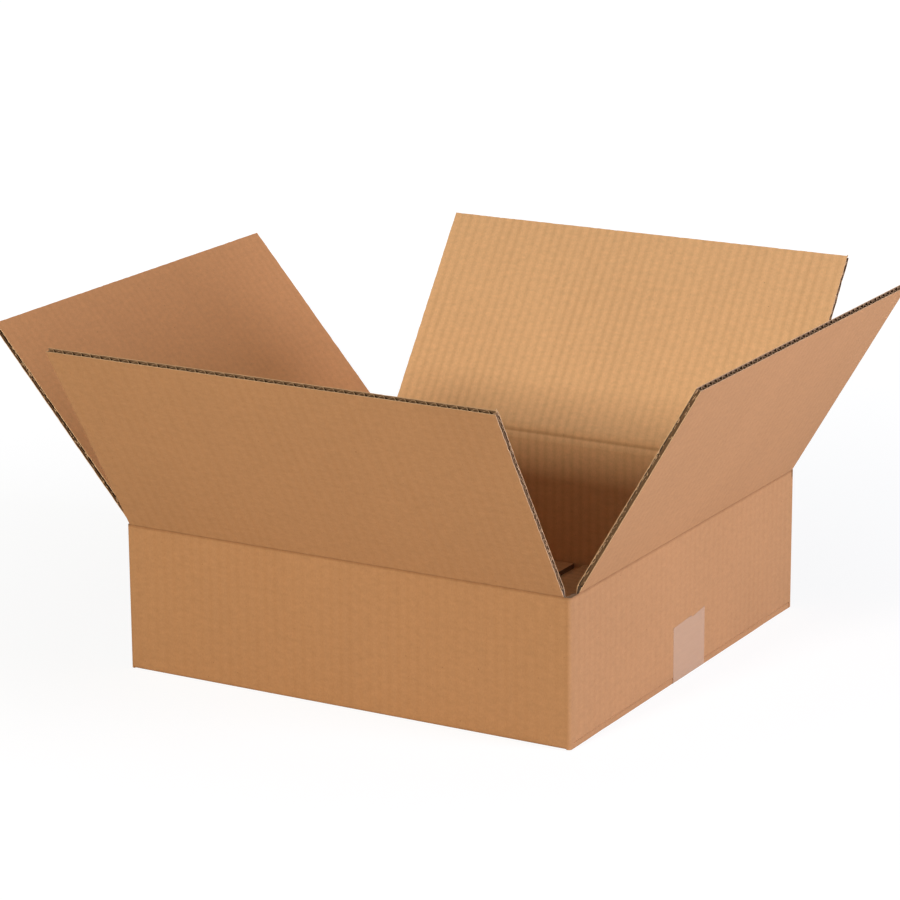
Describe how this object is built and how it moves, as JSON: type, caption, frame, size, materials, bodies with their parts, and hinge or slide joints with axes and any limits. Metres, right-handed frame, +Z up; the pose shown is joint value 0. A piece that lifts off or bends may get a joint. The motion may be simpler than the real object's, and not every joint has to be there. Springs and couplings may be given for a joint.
{
  "type": "open shallow cardboard shipping carton",
  "caption": "Shallow square slotted carton of corrugated board, standing with its hinged top flaps open and its bottom seam closed by clear tape.",
  "frame": {"origin": "centre of the bottom, on the surface that the carton stands on", "axes": "+X from the left wall to the right wall, +Y from the front wall to the back wall, +Z up; the taped seam runs along X"},
  "size_m": [0.5699, 0.5633, 0.2647],
  "materials": {
    "board": "matte",
    "flap_paper": "matte",
    "tape": "satin"
  },
  "bodies": {
    "carton": {"box_body": "board", "bottom_tape": "tape", "front_fold": "board", "back_fold": "board", "left_fold": "board", "right_fold": "board"},
    "front_flap": {"front_flap": "flap_paper"},
    "back_flap": {"back_flap": "flap_paper"},
    "left_flap": {"left_flap": "flap_paper"},
    "right_flap": {"right_flap": "flap_paper"}
  },
  "joints": [
    {"name": "front_flap_fold", "type": "hinge", "parent": "carton", "child": "front_flap", "pos_m": [0, -0.1787, 0.1105], "axis": [1, 0, 0], "range_deg": [-122.2, 92.8], "deforming": ["front_fold"]},
    {"name": "back_flap_fold", "type": "hinge", "parent": "carton", "child": "back_flap", "pos_m": [0, 0.17879, 0.11059], "axis": [-1, 0, 0], "range_deg": [-126.3, 88.7], "deforming": ["back_fold"]},
    {"name": "left_flap_fold", "type": "hinge", "parent": "carton", "child": "left_flap", "pos_m": [-0.1818, 0, 0.1096], "axis": [0, -1, 0], "range_deg": [-131, 84], "deforming": ["left_fold"]},
    {"name": "right_flap_fold", "type": "hinge", "parent": "carton", "child": "right_flap", "pos_m": [0.1818, 0, 0.1096], "axis": [0, 1, 0], "range_deg": [-120.4, 94.6], "deforming": ["right_fold"]}
  ]
}
